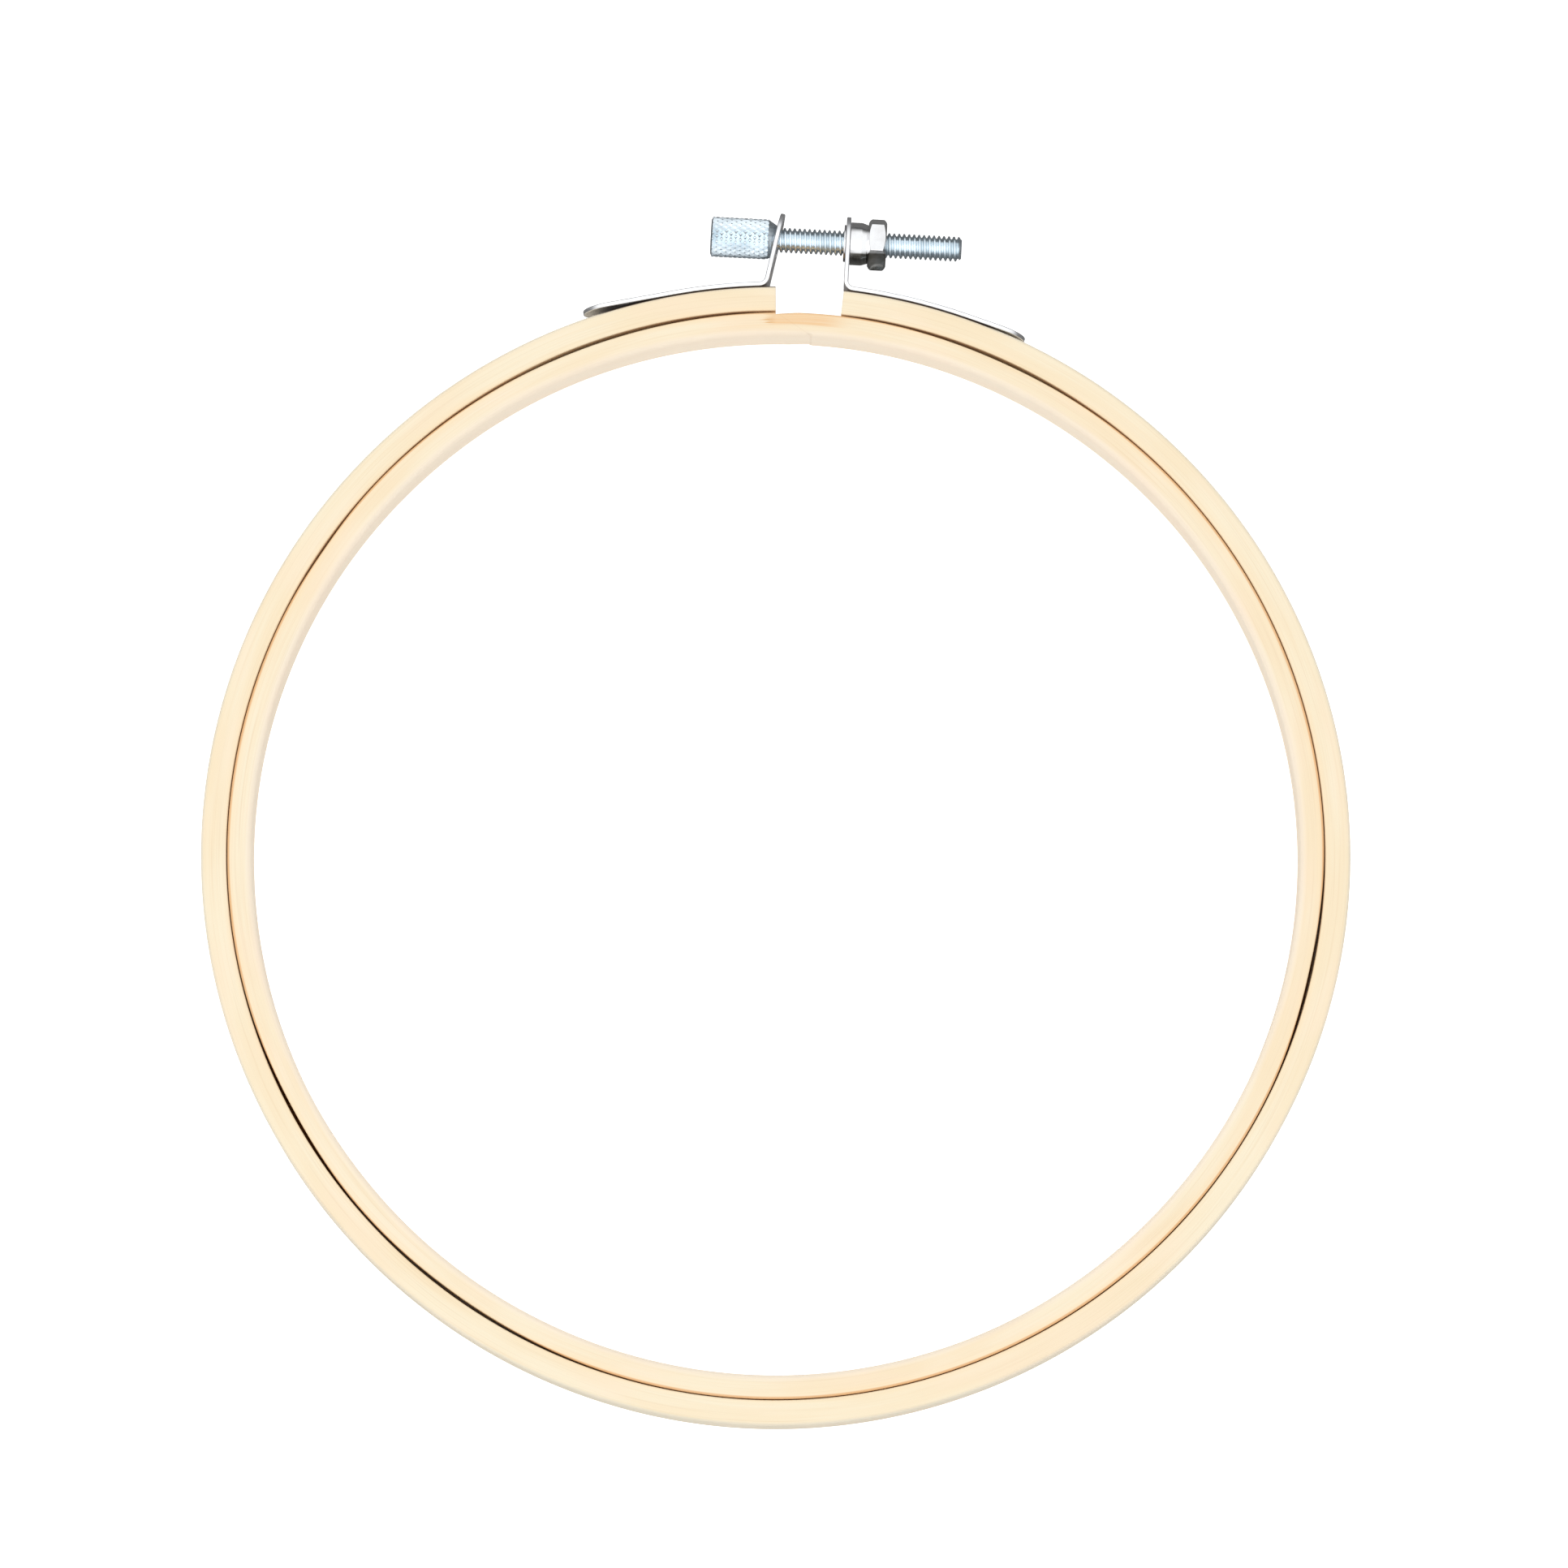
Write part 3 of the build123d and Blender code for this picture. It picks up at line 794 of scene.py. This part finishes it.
def knurled_head(start_x, cone_end_x):
    """Head with a lattice of raised diamonds, a chamfered end, and a cone towards the thread."""
    bm = bmesh.new()
    groove_radius = head_radius - KNURL_DEPTH
    around = math.tau * groove_radius
    diamond_width = around / KNURL_AROUND
    diamond_length = diamond_width / math.tan(KNURL_ANGLE)
    cells = math.ceil((KNURL_AROUND + KNURL_LENGTH / diamond_length) / 2) * 2 + KNURL_SPARE
    bmesh.ops.create_grid(bm, x_segments=cells, y_segments=cells, size=cells / 2)
    diamonds = bm.faces[:]
    bmesh.ops.inset_individual(bm, faces=diamonds, thickness=KNURL_GROOVE_SHARE, depth=0,
                               use_even_offset=True)
    for vert in {vert for face in diamonds for vert in face.verts}:
        vert.co.z = KNURL_DEPTH
    bmesh.ops.rotate(bm, verts=bm.verts[:], cent=(0, 0, 0), matrix=Matrix.Rotation(math.pi / 4, 3, "Z"))
    half = math.sqrt(0.5)
    bmesh.ops.scale(bm, verts=bm.verts[:], vec=(diamond_length * half, diamond_width * half, 1))
    knurl_start = start_x + HEAD_CHAMFER
    knurl_end = knurl_start + KNURL_LENGTH
    bmesh.ops.translate(bm, verts=bm.verts[:], vec=(knurl_start, 0, 0))
    for place, outward in (((knurl_start, 0, 0), (-1, 0, 0)), ((knurl_end, 0, 0), (1, 0, 0)),
                           ((0, -around / 2, 0), (0, -1, 0)), ((0, around / 2, 0), (0, 1, 0))):
        cut_off(bm, place, outward, FLAT_WELD)
    for vert in bm.verts:
        vert.co = about_screw_axis(vert.co.x, groove_radius + vert.co.z, vert.co.y / groove_radius)
    bmesh.ops.remove_doubles(bm, verts=bm.verts[:], dist=WELD)
    # from each end of the knurling, the rings of points that close the head
    ends = (
        (knurl_start, ((start_x, head_radius - 2 * HEAD_CHAMFER),)),
        (knurl_end, ((knurl_end + KNURL_END_STEP, head_radius - KNURL_END_STEP),
                     (cone_end_x, CONE_END_RADIUS))),
    )
    for border_x, steps in ends:
        border = [edge for edge in bm.edges
                  if edge.is_boundary and abs(edge.verts[0].co.x - border_x) < NEAR]
        for x, radius in steps:
            grown = bmesh.ops.extrude_edge_only(bm, edges=border)["geom"]
            for vert in (item for item in grown if isinstance(item, bmesh.types.BMVert)):
                vert.co = about_screw_axis(x, radius, from_screw_axis(vert.co)[1])
            border = [item for item in grown if isinstance(item, bmesh.types.BMEdge) and item.is_boundary]
    bmesh.ops.holes_fill(bm, edges=[edge for edge in bm.edges if edge.is_boundary], sides=0)
    return bm


def clamp_screw(material):
    cone_end_x = screw_low.x + HEAD_CHAMFER + KNURL_LENGTH + CONE_LENGTH
    head = knurled_head(screw_low.x, cone_end_x)
    whole = joined(head, thread(cone_end_x - THREAD_OVERLAP, screw_high.x))
    return finished("clamp_screw_turned", whole, material, sharp_degrees=40)


# Nut

def nut_round_part():
    """Lip, spigot, collar and neck, bored through."""
    lip_front = nut_low.x
    ear_back = EAR_FACE_X + SHEET + NUT_FIT
    hexagon = nut_high.x - NUT_HEX_LENGTH
    bm = lathe((
        (lip_front, NUT_BORE_RADIUS),
        (lip_front, NUT_LIP_RADIUS),
        (EAR_FACE_X - NUT_FIT, NUT_LIP_RADIUS),
        (EAR_FACE_X - NUT_FIT, NUT_SPIGOT_RADIUS),
        (ear_back, NUT_SPIGOT_RADIUS),
        (ear_back, NUT_COLLAR_RADIUS),
        (hexagon - NUT_NECK_LENGTH, NUT_COLLAR_RADIUS),
        (hexagon + NUT_EDGE, NUT_NECK_RADIUS),
        (hexagon + NUT_EDGE, NUT_BORE_RADIUS),
    ), NUT_STEPS)
    soften_edges(bm, NUT_EDGE, segments=3, over_degrees=15)
    return bm


def nut_hexagon():
    """The hexagon, its corners cut back by a cone at both ends."""
    start, end = nut_high.x - NUT_HEX_LENGTH, nut_high.x
    sixth = math.tau / 6
    corner = NUT_FLAT / math.cos(sixth / 2)
    bm = lathe((
        (start, NUT_BORE_RADIUS),
        (start, NUT_RIM_RADIUS),
        (start, corner),
        (end, corner),
        (end, NUT_RIM_RADIUS),
        (end, NUT_COUNTERSINK_RADIUS),
        (end - NUT_COUNTERSINK_DEPTH, NUT_BORE_RADIUS),
    ), NUT_STEPS)
    top_flat = math.pi / 2 - NUT_LEAN
    first_corner = top_flat - sixth / 2
    for vert in bm.verts:
        radius, turn = from_screw_axis(vert.co)
        turn += first_corner
        if radius > NUT_RIM_RADIUS + NUT_EDGE:
            from_flat = (turn - first_corner) % sixth - sixth / 2
            radius = NUT_FLAT / math.cos(from_flat)
            cut_back = (radius - NUT_RIM_RADIUS) * math.tan(NUT_CHAMFER)
            vert.co.x += cut_back if vert.co.x < (start + end) / 2 else -cut_back
        vert.co = about_screw_axis(vert.co.x, radius, turn)
    soften_edges(bm, NUT_EDGE, segments=2, over_degrees=24)
    return bm


def swaged_nut(material):
    whole = joined(nut_round_part(), nut_hexagon())
    return finished("swaged_nut_turned", whole, material, sharp_degrees=10)


# Floor, light and camera

def floor():
    """White lit table, dimmer in reflections, with a narrow band of painted brown shadow under the seam of
    the rings.
    """
    bm = bmesh.new()
    bmesh.ops.create_grid(bm, x_segments=1, y_segments=1, size=FLOOR_SIZE / 2)
    bmesh.ops.translate(bm, verts=bm.verts[:], vec=(0, 0, ring_bottom - FLOOR_DROP))
    material, shader = new_material("studio_floor")
    shader.inputs["Roughness"].default_value = FLOOR_ROUGHNESS
    shader.inputs["Specular IOR Level"].default_value = 0.0
    shader.inputs["Emission Color"].default_value = (1, 1, 1, 1)
    n = Nodes(material.node_tree)
    across = n.add("ShaderNodeVectorMath", operation="LENGTH")
    n.link(n.add("ShaderNodeTexCoord").outputs["Object"], across.inputs[0])
    from_seam = n.away(across.outputs["Value"], FLOOR_UNDER_SEAM)
    # painted shadow: the band under the seam is brown and doesn't glow
    beside_seam = n.ramp(from_seam, FLOOR_BAND_EDGE * FLOOR_BAND_HALF, FLOOR_BAND_HALF)
    n.link(n.times(beside_seam, FLOOR_GLOW), shader.inputs["Emission Strength"])
    n.link(n.mix(beside_seam, FLOOR_SHADOW_BAND_COLOUR, FLOOR_COLOUR), shader.inputs["Base Color"])
    dim = n.add("ShaderNodeEmission")
    dim.inputs["Strength"].default_value = FLOOR_IN_METAL
    choice = n.add("ShaderNodeMixShader")
    n.link(n.add("ShaderNodeLightPath").outputs["Is Glossy Ray"], choice.inputs[0])
    n.link(shader.outputs["BSDF"], choice.inputs[1])
    n.link(dim.outputs[0], choice.inputs[2])
    output = next(node for node in n.tree.nodes if node.bl_idname == "ShaderNodeOutputMaterial")
    n.link(choice.outputs[0], output.inputs["Surface"])
    finished("studio_floor", bm, material)


def soft_light():
    """Square area light aimed at the hoop."""
    light = bpy.data.lights.new("key", "AREA")
    light.size = KEY_SIZE
    light.energy = KEY_POWER
    lamp = bpy.data.objects.new("key", light)
    lamp.location = KEY_PLACE
    lamp.rotation_euler = (-Vector(KEY_PLACE)).to_track_quat("-Z", "Y").to_euler()
    bpy.context.scene.collection.objects.link(lamp)


def studio():
    """White sky that darkens towards the horizon, and one large soft light overhead."""
    world = bpy.data.worlds.new("studio")
    world.use_nodes = True
    bpy.context.scene.world = world
    n = Nodes(world.node_tree)
    world.node_tree.nodes.clear()
    output = n.add("ShaderNodeOutputWorld")
    background = n.add("ShaderNodeBackground")
    _, _, up = n.split(n.add("ShaderNodeTexCoord").outputs["Generated"])
    n.link(n.ramp(up, *SKY_STRENGTH), background.inputs["Strength"])
    background.inputs["Color"].default_value = SKY_COLOUR
    n.link(background.outputs[0], output.inputs["Surface"])
    soft_light()


def camera():
    data = bpy.data.cameras.new("camera")
    data.sensor_width = SENSOR
    data.lens = SENSOR * VIEW_DISTANCE / VIEW_WIDTH
    data.clip_start, data.clip_end = VIEW_CLIP
    eye = bpy.data.objects.new("camera", data)
    across = Vector((math.cos(VIEW_AZIMUTH), math.sin(VIEW_AZIMUTH), 0))
    ahead = Vector((-math.sin(VIEW_AZIMUTH), math.cos(VIEW_AZIMUTH), 0))
    aim = across * VIEW_AIM.x + ahead * VIEW_AIM.y
    back = Vector((0, 0, math.sin(VIEW_ELEVATION))) - ahead * math.cos(VIEW_ELEVATION)
    eye.location = aim + back * VIEW_DISTANCE
    eye.rotation_euler = (-back).to_track_quat("-Z", "Y").to_euler()
    bpy.context.scene.collection.objects.link(eye)
    bpy.context.scene.camera = eye
    bpy.context.scene.view_settings.view_transform = "Standard"


def paint(node, material):
    """A piece kept from the frame takes a finish."""
    piece = frame["nodes"][node]
    piece.data.materials.clear()
    piece.data.materials.append(material)


places = bent_strip_group()
fibres = fibre_group(places)
marks = plate_group()
bracket_nickel = plated("bracket_nickel", marks, *BRACKET_PLATE)
nail_zinc = plated("nail_zinc", marks, *NAIL_PLATE)
screw_zinc = plated("screw_zinc", marks, *SCREW_PLATE)
nut_nickel = plated("nut_nickel", marks, *NUT_PLATE, painted_reflection_below=NUT_PAINTED_REFLECTION_BELOW)

inner = inner_ring(inner_bamboo(places, fibres))
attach(inner, "inner_hoop")
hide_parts("inner_ring")

held, bending = outer_ring(outer_bamboo(places, fibres))
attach(held, "outer_hoop")
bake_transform(bending)
for stretch in (held, bending):
    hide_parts("outer_ring")

screw = clamp_screw(screw_zinc)
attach(screw, "screw")
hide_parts("clamp_screw")

nut = swaged_nut(nut_nickel)
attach(nut, "outer_hoop")
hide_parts("swaged_nut")

for side in ("left", "right"):
    paint(f"{side}_bracket", bracket_nickel)
    paint(f"{side}_nails", nail_zinc)

floor()
studio()
camera()
